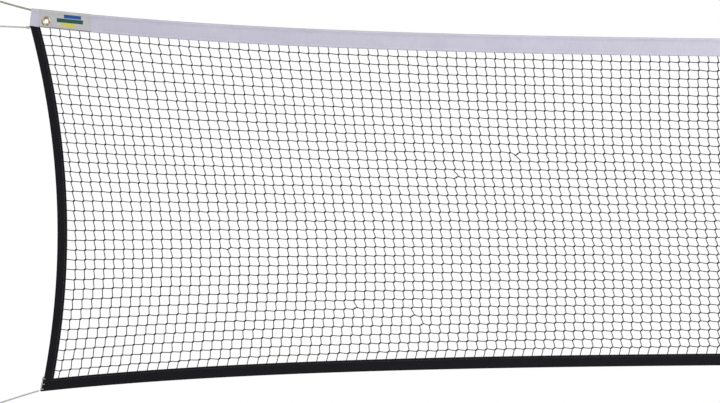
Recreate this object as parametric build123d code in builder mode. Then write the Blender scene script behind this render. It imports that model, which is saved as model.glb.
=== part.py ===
"""Badminton net: knotted netting between a white headband, side tapes and a bottom tape, hung on cords.

Millimetres. +X runs along the net, +Z is up, and the front faces -Y. The origin is where the top cord
leaves the headband at its left end, which is one end of the line that the net swings about.
"""

import os
from math import acos, atan2, cos, cosh, hypot, pi, radians, sin, tan

from build123d import *

os.makedirs("parts", exist_ok=True)

# Net
net_length = 6100
end_height = 760  # from the headband's fold to the lower edge, at either end
netting_thickness = 1.4
tuck = 8  # how far the netting reaches into the side and bottom tapes
headband_tuck = 5  # and into the headband, clear of the eyelets

# The pull of the cords leaves the net shallower in its middle than at its ends
top_drop = 66
top_reach = 585  # the drop is nearly over this far from an end, times three
bottom_rise = 58
bottom_reach = 522
bottom_inset = 19  # the lower edge starts this much further in than the headband
side_bow = 42.5  # how far the netting draws the middle of a side inwards
side_start_x = -3

# Cords
top_cord_d = 4.0
low_cord_d = 3.2

# Headband: one strip folded over the top cord
headband_height = 35
headband_wall = 0.8
headband_end_slant = 4  # the end leans outwards this much towards its lower corner

# Side and bottom tapes, folded over their cords
tape_wall = 0.7
side_tape_width = 19
bottom_tape_height = 23

# All folded tapes
cord_play = 0.3  # between a cord and its channel
netting_play = 0.3  # between the netting and each leaf
butt_gap = 0.3

# End patches, folded over the headband
patch_start_x = 16
patch_end_x = 116
patch_wall = 0.6
patch_play = 0.05

# Eyelets through the patches
eyelet_x = 28.8
eyelet_below_fold = 22
eyelet_bore_r = 4.5
eyelet_barrel_wall = 0.6
eyelet_flange_r = 9.4
eyelet_flange_height = 1.2
washer_r = 8.6
washer_thickness = 0.8
washer_play = 0.05
washer_chamfer = 0.3
eyelet_hole_play = 0.15
eyelet_rim_r = 6.2
eyelet_rim_height = 0.6

# Stitching
thread_width = 0.9
thread_height = 0.3
seam_inset = 4
patch_seam_inset = 1.7
thread_play = 0.02

# Cord routes follow the tapes' channels closely, with an arc between each two runs
long_cord_stations = 49
side_cord_stations = 21
arc_share = 0.45  # of a run, which the arc at either end may take

# Ties: knot, then a loop that goes over a post's hook
knot_length = 10
knot_r = 4.4
knot_round = 2.0
loop_r = 11
loop_length = 26  # from the knot to the loop's centre
loop_spread = 2.2  # half the distance between the loop's two legs at the knot

# Solids in one piece overlap this much, and a cut runs this far past what it cuts
overlap = 1
past = 2

fold_z = top_cord_d / 2 + cord_play + headband_wall
lower_z = fold_z - end_height
leaf_gap = netting_thickness + 2 * netting_play
middle_plane = Plane.YZ.offset(net_length / 2)
pieces = {}


def sag(x, reach):
    """0 at either end of the net, and 1 in its middle."""
    half = net_length / 2
    return 1 - cosh((x - half) / reach) / cosh(half / reach)


def top_edge(x, down=0.0):
    """Height of the headband's fold, or of a line that far below it."""
    return fold_z - down - top_drop * sag(x, top_reach)


def bottom_edge(x, up=0.0):
    """Height of the net's lower edge, or of a line that far above it."""
    return lower_z + up + bottom_rise * sag(x, bottom_reach)


def side_edge(z, inwards=0.0):
    """Left outline of the side tape, or a line that far inside it."""
    side_top = fold_z - headband_height
    t = (side_top - z) / (side_top - lower_z)
    return side_start_x + (bottom_inset - side_start_x) * t + 4 * side_bow * t * (1 - t) + inwards


def stations(first_x, last_x, count=25):
    """Places along the net, closer together towards its ends, where its edges curve most."""
    middle = (first_x + last_x) / 2
    half = (last_x - first_x) / 2
    steps = [-1 + 2 * i / (count - 1) for i in range(count)]
    return [middle + half * sin(pi / 2 * s) for s in steps]


def levels(low_z, high_z, count=11):
    """Evenly spaced heights."""
    return [low_z + (high_z - low_z) * i / (count - 1) for i in range(count)]


def upper_line(first_x, last_x, down, count=25):
    return [(x, top_edge(x, down)) for x in stations(first_x, last_x, count)]


def lower_line(first_x, last_x, up, count=25):
    return [(x, bottom_edge(x, up)) for x in stations(first_x, last_x, count)]


def side_line(low_z, high_z, inwards, count=11):
    return [(side_edge(z, inwards), z) for z in levels(low_z, high_z, count)]


def layer(sides, front, back, mode=Mode.ADD):
    """A flat region closed by its sides, each a list of points that ends where the next one starts,
    filling the depth from front to back of the net's middle plane (front is -Y)."""
    with BuildSketch(Plane.XZ.offset(-back)) as region:
        with BuildLine():
            for side in sides:
                if len(side) == 2:
                    Line(*side)
                else:
                    Spline(*side)
        make_face()
    extrude(region.sketch, amount=front + back, mode=mode)


def strip(upper, lower, front, back, mode=Mode.ADD):
    """A layer between an upper and a lower line."""
    ends = ([upper[-1], lower[-1]], [lower[0], upper[0]])
    layer((upper, ends[0], lower[::-1], ends[1]), front, back, mode)


def keep(name, part):
    """Labels a piece and writes it."""
    part.label = name
    export_step(part, f"parts/{name}.step")
    pieces[name] = part


def keep_both_ends(name, part):
    """A left-hand piece and its mirror image at the net's other end."""
    keep(f"left_{name}", part)
    with BuildPart() as other:
        mirror(part, about=middle_plane)
    keep(f"right_{name}", other.part)


def turn_radii(points):
    """For each corner of a cord's route, the largest arc that its two runs allow."""
    radii = []
    for before, here, after in zip(points, points[1:], points[2:]):
        a, b = Vector(here) - Vector(before), Vector(after) - Vector(here)
        radii.append(arc_share * min(a.length, b.length) / tan(radians(a.get_angle(b)) / 2))
    return radii


def cord(points, diameter):
    """A cord along straight runs joined by arcs. Points are (x, z) in the net's middle plane."""
    route = [(x, 0, z) for x, z in points]
    with BuildPart() as tube:
        with BuildLine() as path:
            FilletPolyline(*route, radius=turn_radii(route))
        with BuildSketch(Plane(path.line @ 0, z_dir=path.line % 0)):
            Circle(diameter / 2)
        sweep(path=path.line)
    return tube.part


# ---- Netting ----

netting_down = headband_height - headband_tuck
netting_up = bottom_tape_height - tuck
netting_in = side_tape_width - tuck
side_high_z = top_edge(0, netting_down)
side_low_z = bottom_edge(bottom_inset, netting_up)
left_side = side_line(side_low_z, side_high_z, netting_in)
right_side = [(net_length - x, z) for x, z in left_side]
netting_top = upper_line(left_side[-1][0], right_side[-1][0], netting_down)
netting_top[0] = left_side[-1]
netting_top[-1] = right_side[-1]
netting_bottom = lower_line(left_side[0][0], right_side[0][0], netting_up)
netting_bottom[0] = left_side[0]
netting_bottom[-1] = right_side[0]

with BuildPart() as netting:
    outline = (netting_top, right_side[::-1], netting_bottom[::-1], left_side)
    layer(outline, netting_thickness / 2, netting_thickness / 2)
keep("netting", netting.part)

# ---- Headband, folded over the top cord, with the netting between its leaves ----

fold_depth = top_cord_d / 2 + cord_play + headband_wall  # half the thickness round the cord
channel_depth = fold_depth - headband_wall
bulge_height = top_cord_d + 2 * cord_play + 2 * headband_wall
leaf_depth = leaf_gap / 2 + headband_wall
band_first, band_last = 0, net_length


def headband_line(down, overhang=0.0):
    """A line along the headband, whose ends follow the slant of its end edge."""
    lean = headband_end_slant * down / headband_height
    return upper_line(band_first - lean - overhang, band_last + lean + overhang, down)


with BuildPart() as headband:
    strip(headband_line(0), headband_line(bulge_height), fold_depth, fold_depth)
    strip(headband_line(bulge_height - overlap), headband_line(headband_height), leaf_depth, leaf_depth)
    channel_top = headband_line(headband_wall, overhang=past)
    channel_low = headband_line(bulge_height - headband_wall, overhang=past)
    strip(channel_top, channel_low, channel_depth, channel_depth, Mode.SUBTRACT)
    gap_top = headband_line(bulge_height - headband_wall - overlap, overhang=past)
    gap_low = headband_line(headband_height + overlap, overhang=past)
    strip(gap_top, gap_low, leaf_gap / 2, leaf_gap / 2, Mode.SUBTRACT)
    eyelet_z = top_edge(eyelet_x, eyelet_below_fold)
    barrel_r = eyelet_bore_r + eyelet_barrel_wall
    with BuildSketch(Plane.XZ):
        with Locations((eyelet_x, eyelet_z), (net_length - eyelet_x, eyelet_z)):
            Circle(barrel_r + eyelet_hole_play)
    extrude(amount=2 * fold_depth, both=True, mode=Mode.SUBTRACT)
keep("headband", headband.part)

# ---- End patches, folded over the headband ----

patch_outer = patch_play + patch_wall
patch_leaf_depth = leaf_depth + patch_outer


def patch_line(down, overhang=0.0):
    return upper_line(patch_start_x - overhang, patch_end_x + overhang, down, count=5)


with BuildPart() as patch:
    bulge_depth = fold_depth + patch_outer
    strip(patch_line(-patch_outer), patch_line(bulge_height + patch_outer), bulge_depth, bulge_depth)
    leaf_top = patch_line(bulge_height)
    strip(leaf_top, patch_line(headband_height), patch_leaf_depth, patch_leaf_depth)
    inner_depth = fold_depth + patch_play
    inner_top = patch_line(-patch_play, overhang=past)
    inner_low = patch_line(bulge_height + patch_play, overhang=past)
    strip(inner_top, inner_low, inner_depth, inner_depth, Mode.SUBTRACT)
    inner_leaf = leaf_depth + patch_play
    leaf_high = patch_line(bulge_height - overlap, overhang=past)
    leaf_low = patch_line(headband_height + overlap, overhang=past)
    strip(leaf_high, leaf_low, inner_leaf, inner_leaf, Mode.SUBTRACT)
    with BuildSketch(Plane.XZ):
        with Locations((eyelet_x, eyelet_z)):
            Circle(barrel_r + eyelet_hole_play)
    extrude(amount=2 * fold_depth, both=True, mode=Mode.SUBTRACT)
keep_both_ends("end_patch", patch.part)

# ---- Eyelets: a flanged barrel from the front, closed over a washer at the back ----

eyelet_plane = Plane(origin=(eyelet_x, 0, eyelet_z), x_dir=(1, 0, 0), z_dir=(0, -1, 0))
front_face = patch_leaf_depth + thread_play
back_face = -front_face
washer_back = back_face - washer_thickness
rim_back = washer_back - thread_play - eyelet_rim_height

with BuildPart() as eyelet:
    with BuildSketch(Plane(eyelet_plane.origin, x_dir=(1, 0, 0), z_dir=(0, 0, 1))):
        with BuildLine():
            # Across is the radius and up is the depth, with the front at the bottom
            front = -front_face
            crown = front - eyelet_flange_height
            back = -rim_back
            rim_foot = -(washer_back - thread_play)
            Line((eyelet_flange_r, front), (barrel_r, front))
            Line((barrel_r, front), (barrel_r, rim_foot))
            Line((barrel_r, rim_foot), (eyelet_rim_r, rim_foot))
            ThreePointArc((eyelet_rim_r, rim_foot), ((eyelet_rim_r + eyelet_bore_r) / 2, back),
                          (eyelet_bore_r, rim_foot))
            Line((eyelet_bore_r, rim_foot), (eyelet_bore_r, front))
            ThreePointArc((eyelet_bore_r, front), ((eyelet_flange_r + eyelet_bore_r) / 2, crown),
                          (eyelet_flange_r, front))
        make_face()
    revolve(axis=Axis((eyelet_x, 0, eyelet_z), (0, 1, 0)))
keep_both_ends("eyelet", eyelet.part)

with BuildPart() as washer:
    with BuildSketch(eyelet_plane.offset(washer_back)):
        Circle(washer_r)
        Circle(barrel_r + washer_play, mode=Mode.SUBTRACT)
    extrude(amount=washer_thickness)
    rim = washer.edges().filter_by(GeomType.CIRCLE).sort_by(Axis.Y)[-2:]
    chamfer(rim.sort_by(SortBy.LENGTH)[-1], washer_chamfer)
keep_both_ends("eyelet_washer", washer.part)

# ---- Side tapes, folded over the side cords ----

tape_fold_depth = low_cord_d / 2 + cord_play + tape_wall
tape_channel_depth = tape_fold_depth - tape_wall
tape_bulge = low_cord_d + 2 * cord_play + 2 * tape_wall
tape_leaf_depth = leaf_gap / 2 + tape_wall


def side_run(inwards, overhang=0.0, count=11):
    """A line down the side tape, from the headband's lower edge to the bottom tape's upper edge."""
    x = side_edge(-headband_height, inwards)
    high = top_edge(x, headband_height) - butt_gap + overhang
    x = side_edge(lower_z + bottom_tape_height, inwards)
    low = bottom_edge(x, bottom_tape_height) + butt_gap - overhang
    return side_line(low, high, inwards, count)


def side_strip(outer, inner, front, back, mode=Mode.ADD, overhang=0.0):
    """A strip down the left side between two distances in from its outline."""
    near = side_run(outer, overhang)
    far = side_run(inner, overhang)
    ends = ([near[-1], far[-1]], [far[0], near[0]])
    layer((near, ends[0], far[::-1], ends[1]), front, back, mode)


with BuildPart() as side_tape:
    side_strip(0, tape_bulge, tape_fold_depth, tape_fold_depth)
    side_strip(tape_bulge - overlap, side_tape_width, tape_leaf_depth, tape_leaf_depth)
    channel_end = tape_bulge - tape_wall
    depth = tape_channel_depth
    side_strip(tape_wall, channel_end, depth, depth, Mode.SUBTRACT, overhang=past)
    depth = leaf_gap / 2
    side_strip(channel_end - overlap, side_tape_width + overlap, depth, depth, Mode.SUBTRACT, past)
keep_both_ends("side_tape", side_tape.part)

side_cord_route = side_run(tape_fold_depth, overhang=-1, count=side_cord_stations)
keep_both_ends("side_cord", cord(side_cord_route, low_cord_d))

# ---- Bottom tape, folded up over the bottom cord ----


def bottom_line(up, overhang=0.0):
    """A line along the bottom tape, whose ends carry on the side tapes' outline."""
    start = side_edge(lower_z + up) - overhang
    return lower_line(start, net_length - start, up)


with BuildPart() as bottom_tape:
    strip(bottom_line(tape_bulge), bottom_line(0), tape_fold_depth, tape_fold_depth)
    leaf_low = bottom_line(tape_bulge - overlap)
    strip(bottom_line(bottom_tape_height), leaf_low, tape_leaf_depth, tape_leaf_depth)
    channel_top = bottom_line(tape_bulge - tape_wall, overhang=past)
    channel_low = bottom_line(tape_wall, overhang=past)
    strip(channel_top, channel_low, tape_channel_depth, tape_channel_depth, Mode.SUBTRACT)
    gap_top = bottom_line(bottom_tape_height + overlap, overhang=past)
    gap_low = bottom_line(tape_bulge - tape_wall - overlap, overhang=past)
    strip(gap_top, gap_low, leaf_gap / 2, leaf_gap / 2, Mode.SUBTRACT)
keep("bottom_tape", bottom_tape.part)

# ---- Cords inside the headband and the bottom tape ----

cord_setback = 2
top_cord_end = net_length - cord_setback
top_cord_route = upper_line(cord_setback, top_cord_end, fold_depth, long_cord_stations)
keep("top_cord", cord(top_cord_route, top_cord_d))

bottom_cord_start = bottom_inset + cord_setback
bottom_cord_end = net_length - bottom_cord_start
bottom_cord_route = lower_line(bottom_cord_start, bottom_cord_end, tape_fold_depth, long_cord_stations)
keep("bottom_cord", cord(bottom_cord_route, low_cord_d))

# ---- Stitching: each seam is a pair of threads, one on either face ----


def on_both_faces(make, face_depth):
    """Calls make with the depths of a thread that lies on the front, then of one on the back."""
    near = face_depth + thread_play
    far = near + thread_height
    make(far, -near)
    make(-near, far)


def headband_seam_thread(front, back):
    start = patch_end_x + seam_inset
    row = headband_height - seam_inset
    upper = upper_line(start, net_length - start, row - thread_width / 2)
    lower = upper_line(start, net_length - start, row + thread_width / 2)
    strip(upper, lower, front, back)


def bottom_seam_thread(front, back):
    start = bottom_inset + seam_inset
    row = bottom_tape_height - seam_inset
    upper = lower_line(start, net_length - start, row + thread_width / 2)
    lower = lower_line(start, net_length - start, row - thread_width / 2)
    strip(upper, lower, front, back)


def side_seam_thread(front, back):
    row = side_tape_width - seam_inset
    side_strip(row - thread_width / 2, row + thread_width / 2, front, back, overhang=-2)


def patch_seam_thread(front, back):
    """Down both ends of the patch and along its lower edge."""
    half = thread_width / 2
    low = headband_height - patch_seam_inset
    high = bulge_height + patch_seam_inset
    first, last = patch_start_x + patch_seam_inset, patch_end_x - patch_seam_inset
    for x in (first, last):
        upper = [(x - half, top_edge(x, high)), (x + half, top_edge(x, high))]
        lower = [(x - half, top_edge(x, low + half)), (x + half, top_edge(x, low + half))]
        strip(upper, lower, front, back)
    row_top = upper_line(first, last, low - half, count=5)
    row_low = upper_line(first, last, low + half, count=5)
    strip(row_top, row_low, front, back)


with BuildPart() as headband_seam:
    on_both_faces(headband_seam_thread, leaf_depth)
keep("headband_seam", headband_seam.part)

with BuildPart() as bottom_seam:
    on_both_faces(bottom_seam_thread, tape_leaf_depth)
keep("bottom_tape_seam", bottom_seam.part)

with BuildPart() as side_seam:
    on_both_faces(side_seam_thread, tape_leaf_depth)
keep_both_ends("side_tape_seam", side_seam.part)

with BuildPart() as patch_seam:
    on_both_faces(patch_seam_thread, patch_leaf_depth)
keep_both_ends("patch_stitching", patch_seam.part)

# ---- Ties: each cord outside the net, up to a knot and a loop over a post's hook ----

top_tie_route = [(-1, 0.2), (-24, 5.4), (-78, 21.6)]
side_tie_route = [(-11.6, -34.2), (-30, -33.4), (-80, -31.2)]
bottom_tie_route = [(14.4, -753.6), (-12, -761.0), (-80, -783.2)]


def tie_end(route):
    """The plane across a tie's far end, facing outwards, and the plane of the net through it."""
    (ax, az), (bx, bz) = route[-2:]
    outwards = Vector(bx - ax, 0, bz - az).normalized()
    across = Plane(origin=(bx, 0, bz), x_dir=(0, 1, 0), z_dir=outwards)
    flat = Plane(origin=(bx, 0, bz), x_dir=outwards, z_dir=(0, -1, 0))
    return across, flat


def knot(across):
    with BuildPart() as body:
        with BuildSketch(across):
            Circle(knot_r)
        extrude(amount=knot_length)
        fillet(body.edges().filter_by(GeomType.CIRCLE), knot_round)
    return body.part


def loop(across, flat, diameter):
    """Two straight legs from the knot's outer face, joined by an arc about the loop's centre."""
    centre_x = knot_length + loop_length
    legs_x = knot_length
    reach = hypot(centre_x - legs_x, loop_spread)
    leg_length = (reach**2 - loop_r**2) ** 0.5
    turn = atan2(-loop_spread, centre_x - legs_x) + acos(leg_length / reach)
    touch_x = legs_x + leg_length * cos(turn)
    touch_y = loop_spread + leg_length * sin(turn)
    inside = 1.5  # the legs start this far inside the knot, and are cut off at its face
    start_y = loop_spread - inside * tan(turn)
    with BuildPart() as ring:
        with BuildLine(flat) as path:
            Line((legs_x - inside, start_y), (touch_x, touch_y))
            ThreePointArc((touch_x, touch_y), (centre_x + loop_r, 0), (touch_x, -touch_y))
            Line((touch_x, -touch_y), (legs_x - inside, -start_y))
        with BuildSketch(Plane(path.line @ 0, z_dir=path.line % 0)):
            Circle(diameter / 2)
        sweep(path=path.line)
        split(bisect_by=across.offset(knot_length), keep=Keep.TOP)
    return ring.part


ties = {
    "top": (top_tie_route, top_cord_d),
    "side": (side_tie_route, low_cord_d),
    "bottom": (bottom_tie_route, low_cord_d),
}
for where, (route, diameter) in ties.items():
    across, flat = tie_end(route)
    keep_both_ends(f"{where}_tie", cord(route, diameter))
    keep_both_ends(f"{where}_tie_knot", knot(across))
    keep_both_ends(f"{where}_tie_loop", loop(across, flat, diameter))

# ---- Where the side cord comes out: a stopper knot above, and a lashing at the lower corner ----

stopper_length = 7
stopper_r = 2.6
stopper_round = 0.9

with BuildPart() as stopper:
    route = ties["side"][0]
    start = Vector(route[0][0], 0, route[0][1])
    outwards = (Vector(route[1][0], 0, route[1][1]) - start).normalized()
    with BuildSketch(Plane(origin=start, x_dir=(0, 1, 0), z_dir=outwards * -1)):
        Circle(stopper_r)
    extrude(amount=stopper_length)
    fillet(stopper.edges().filter_by(GeomType.CIRCLE), stopper_round)
keep_both_ends("stopper_knot", stopper.part)

lashing_gap = 0.3
lashing_low, lashing_high = lower_z + 4, lower_z + 30
lashing_out = -(low_cord_d / 2 + lashing_gap)
lashing_levels = levels(lashing_low, lashing_high, 3)
lashing_route = [(side_edge(z, lashing_out), z) for z in lashing_levels]
keep_both_ends("corner_lashing", cord(lashing_route, low_cord_d))

# ---- Cord arcs and tube volumes ----

routes = {
    "top_cord": (top_cord_route, top_cord_d),
    "bottom_cord": (bottom_cord_route, low_cord_d),
    "left_side_cord": (side_cord_route, low_cord_d),
    "left_corner_lashing": (lashing_route, low_cord_d),
}
routes |= {f"left_{where}_tie": tie for where, tie in ties.items()}
for name, (route, diameter) in routes.items():
    length = sum(hypot(b[0] - a[0], b[1] - a[1]) for a, b in zip(route, route[1:]))
    full = pi * diameter**2 / 4 * length
    radii = turn_radii([(x, 0, z) for x, z in route])
    print(f"{name}: length {length:.1f}, smallest arc {min(radii):.0f},"
          f" volume {pieces[name].volume:.0f} of {full:.0f}")
print(len(pieces), "pieces")
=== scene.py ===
"""A badminton net hung on its cords, seen from the front at its left end. Metres, in the row frame."""
import math

import bpy
import numpy as np
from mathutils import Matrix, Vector


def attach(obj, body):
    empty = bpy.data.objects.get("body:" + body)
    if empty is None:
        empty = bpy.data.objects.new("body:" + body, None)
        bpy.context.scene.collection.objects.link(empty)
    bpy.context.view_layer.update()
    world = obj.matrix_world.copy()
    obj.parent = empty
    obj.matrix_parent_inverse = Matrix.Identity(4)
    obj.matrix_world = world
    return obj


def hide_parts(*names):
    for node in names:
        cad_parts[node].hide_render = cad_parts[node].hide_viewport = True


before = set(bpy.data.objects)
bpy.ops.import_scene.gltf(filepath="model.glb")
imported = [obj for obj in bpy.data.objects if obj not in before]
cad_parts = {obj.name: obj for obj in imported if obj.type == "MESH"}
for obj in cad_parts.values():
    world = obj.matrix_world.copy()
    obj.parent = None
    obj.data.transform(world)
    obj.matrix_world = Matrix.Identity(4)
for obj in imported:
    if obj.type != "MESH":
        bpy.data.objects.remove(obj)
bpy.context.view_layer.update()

# ---- Sizes, as in the CAD model ----

MM = 0.001
NET_LENGTH = 6.1
END_HEIGHT = 0.76
TOP_DROP, TOP_REACH = 0.066, 0.585
BOTTOM_RISE, BOTTOM_REACH = 0.058, 0.522
BOTTOM_INSET = 0.019
SIDE_BOW = 0.0425
SIDE_START_X = -0.003

TOP_CORD_D = 0.004
LOW_CORD_D = 0.0032
HEADBAND_HEIGHT = 0.035
HEADBAND_WALL = 0.0008
HEADBAND_END_SLANT = 0.004
TAPE_WALL = 0.0007
SIDE_TAPE_WIDTH = 0.019
BOTTOM_TAPE_HEIGHT = 0.023
CORD_PLAY = 0.0003
LEAF_GAP = 0.002
PATCH_START_X, PATCH_END_X = 0.016, 0.116
PATCH_WALL = 0.0006
EYELET_X = 0.0288
EYELET_BELOW_FOLD = 0.022
BORE_R = 0.0045
SEAM_INSET = 0.004
PATCH_SEAM_INSET = 0.0017

FOLD_Z = TOP_CORD_D / 2 + CORD_PLAY + HEADBAND_WALL
LOWER_Z = FOLD_Z - END_HEIGHT

# Ties: the routes of the cords outside the net, as (x, z), from the net outwards
TOP_TIE = [(0.0015, -0.0002), (-0.024, 0.0054), (-0.078, 0.0216)]
SIDE_TIE = [(-0.0116, -0.0342), (-0.030, -0.0334), (-0.080, -0.0312)]
BOTTOM_TIE = [(0.0144, -0.7536), (-0.012, -0.7610), (-0.080, -0.7832)]
KNOT_LENGTH = 0.010

# ---- Netting ----

COLUMNS, ROWS = 311, 35
FIRST_COLUMN_X = 0.0362
FIRST_ROW_BELOW_HEADBAND = 0.0125
LAST_ROW_ABOVE_TAPE = 0.0143
LEAN, LEAN_REACH = 0.0205, 0.9  # how far the lower edge stands in from the upper one
LEAN_WAVE = 0.27  # of the lean, which comes mostly in the netting's lower half
NET_BOW, NET_BOW_REACH, NET_BOW_POWER = 0.037, 1.33, 1.2
NET_SHIFT, NET_SHIFT_X, NET_SHIFT_WIDTH = 0.008, 0.72, 0.42
END_RISE, END_RISE_REACH = 0.0045, 0.35  # of the rows beside the side tapes, at half height
END_DIP = 0.5  # of that rise, by which the first row hangs lower there
TWINE_R = 0.00092
KNOT_HALF = np.array([0.0011, 0.0, 0.0007])  # from a knot's middle to its upper right end
COLUMNS_PER_PIECE = 23
MESH_PITCH = (NET_LENGTH - 2 * FIRST_COLUMN_X) / (COLUMNS - 1)
KNOT_SCATTER = 0.00032, 0.00025, 0.00026  # of each knot's place, in x, y and z
TIGHT_COLUMNS = 60  # beside either end of the net, where the netting is drawn tight
SLACK, MORE_SLACK = 0.30, 0.16  # the bend in a column's twine at the net's ends, and what its middle adds
LEG_SKEW = 0.06  # how far each upright leg leans to the left as it leaves a knot
TOP_KNOTS, LOWER_KNOTS = 0.80, 0.55  # a knot's size at the top, and what it gains down to the last row
END_KNOTS, MIDDLE_KNOTS = 0.88, 0.30  # the same from the net's ends to where it is slack
UNEVEN = 0.85, 1.15  # the range of each knot's own size
SAG, SAG_SCATTER = -0.00025, 0.0003  # of the level legs
LEG_REACH = 0.0045  # of the outer legs into the tapes
LOW_LEG_SHIFT = 0.0052  # from a last knot to where its leg enters the bottom tape
LEFT_LEG_RISE, RIGHT_LEG_DROP = 0.0016, 0.0012  # from an outer knot to where its leg enters a side tape
rng = np.random.RandomState(11)

# Knots that have slipped along their twine: (column, row, which end, how far across, how far down)
SLIPPED = (
    (16, 22, "lower", 0.0039, 0.0029),
    (47, 11, "lower", 0.0060, 0.0042),
    (40, 14, "upper", 0.0057, 0.0027),
    (29, 29, "upper", 0.0050, 0.0024),
    (35, 30, "upper", 0.0050, 0.0024),
    (36, 31, "upper", 0.0046, 0.0022),
    (118, 9, "lower", 0.0050, 0.0035),
    (171, 25, "upper", 0.0052, 0.0026),
    (233, 17, "lower", 0.0044, 0.0030),
    (284, 6, "upper", 0.0050, 0.0025),
)


def sag(x, reach):
    """0 at either end of the net, and 1 in its middle."""
    half = NET_LENGTH / 2
    return 1 - np.cosh((x - half) / reach) / np.cosh(half / reach)


def top_edge(x, down=0.0):
    """Height of the headband's fold, or of a line that far below it."""
    return FOLD_Z - down - TOP_DROP * sag(x, TOP_REACH)


def bottom_edge(x, up=0.0):
    """Height of the net's lower edge, or of a line that far above it."""
    return LOWER_Z + up + BOTTOM_RISE * sag(x, BOTTOM_REACH)


def side_edge(z, inwards=0.0):
    """Left outline of the side tape, or a line that far inside it."""
    side_top = FOLD_Z - HEADBAND_HEIGHT
    t = (side_top - z) / (side_top - LOWER_Z)
    return SIDE_START_X + (BOTTOM_INSET - SIDE_START_X) * t + 4 * SIDE_BOW * t * (1 - t) + inwards


def eased(t):
    """0 to 1 with level ends."""
    t = np.clip(t, 0, 1)
    return t * t * (3 - 2 * t)


# ---- Making pieces ----


def make_piece(name, verts, faces, mat, body, node, slot):
    """A mesh from an array of corners and a list of arrays of faces. It rides on a body and stands for a
    CAD node."""
    mesh = bpy.data.meshes.new(name)
    verts = np.asarray(verts, np.float32)
    groups = [np.asarray(f, np.int32) for f in faces]
    sizes = np.concatenate([np.full(len(g), g.shape[1], np.int32) for g in groups])
    loops = np.concatenate([g.ravel() for g in groups])
    mesh.vertices.add(len(verts))
    mesh.vertices.foreach_set("co", verts.ravel())
    mesh.loops.add(len(loops))
    mesh.loops.foreach_set("vertex_index", loops)
    mesh.polygons.add(len(sizes))
    starts = np.concatenate([[0], np.cumsum(sizes)[:-1]]).astype(np.int32)
    mesh.polygons.foreach_set("loop_start", starts)
    mesh.polygons.foreach_set("use_smooth", np.full(len(sizes), True))
    mesh.update(calc_edges=True)
    mesh.validate()
    mesh.materials.append(mat)
    obj = bpy.data.objects.new(name, mesh)
    bpy.context.scene.collection.objects.link(obj)
    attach(obj, body)
    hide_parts(node)
    return obj


def mirrored(verts, faces):
    """The same piece at the net's other end."""
    verts = np.array(verts, float)
    verts[:, 0] = NET_LENGTH - verts[:, 0]
    return verts, [np.asarray(f)[:, ::-1] for f in faces]


def make_both_ends(name, verts, faces, mat, body, node, slot):
    """A left-hand piece and its mirror image, each standing for its own CAD node."""
    left = make_piece(f"left_{name}", verts, faces, mat, body, f"left_{node}", slot)
    verts, faces = mirrored(verts, faces)
    right = make_piece(f"right_{name}", verts, faces, mat, body, f"right_{node}", slot)
    return left, right


def faced_out(verts, faces):
    """The same closed mesh of quads, with its faces turned outwards."""
    corners = [verts[group] - verts.mean(axis=0) for group in faces]
    halves = [(c[:, [0, 1, 2]], c[:, [0, 2, 3]]) for c in corners]
    volume = sum(np.linalg.det(half).sum() for pair in halves for half in pair)
    return verts, [group[:, ::-1] if volume < 0 else group for group in faces]


def joined(parts):
    """Several (verts, faces) as one."""
    verts, faces, start = [], [], 0
    for v, groups in parts:
        verts.append(np.asarray(v, float))
        faces += [np.asarray(g) + start for g in groups]
        start += len(v)
    return np.concatenate(verts), faces


TINY = 1e-12  # keeps a division by a length of nothing finite


def tubes(lines, radii, sides):
    """Closed tubes along many lines at once: lines is (tube, ring, 3), radii one number or (tube, ring)."""
    lines = np.asarray(lines, float)
    count, rings = lines.shape[:2]
    along = np.gradient(lines, axis=1)
    along /= np.linalg.norm(along, axis=2, keepdims=True) + TINY
    level = np.zeros_like(along)
    level[..., 1] = 1
    across = np.cross(along, level)
    across /= np.linalg.norm(across, axis=2, keepdims=True) + TINY
    level = np.cross(across, along)
    angle = np.arange(sides) / sides * 2 * np.pi
    radii = np.broadcast_to(np.asarray(radii, float), (count, rings))[..., None, None]
    ring = np.cos(angle)[:, None] * across[:, :, None] + np.sin(angle)[:, None] * level[:, :, None]
    verts = (lines[:, :, None] + radii * ring).reshape(-1, 3)
    first = (np.arange(count)[:, None] * rings + np.arange(rings - 1)) * sides
    here = first[..., None] + np.arange(sides)
    after = first[..., None] + (np.arange(sides) + 1) % sides
    quads = np.stack([here, here + sides, after + sides, after], axis=-1).reshape(-1, 4)
    start = (np.arange(count) * rings * sides)[:, None]
    end = start + (rings - 1) * sides
    return verts, [quads, start + np.arange(sides), end + np.arange(sides)[::-1]]


def bezier(a, b, c, d, rings):
    """Cubic curves between the points a and d of many tubes."""
    t = np.linspace(0, 1, rings)[None, :, None]
    a, b, c, d = (p[:, None] for p in (a, b, c, d))
    return (1 - t) ** 3 * a + 3 * (1 - t) ** 2 * t * b + 3 * (1 - t) * t**2 * c + t**3 * d


# ---- Materials ----


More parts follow.
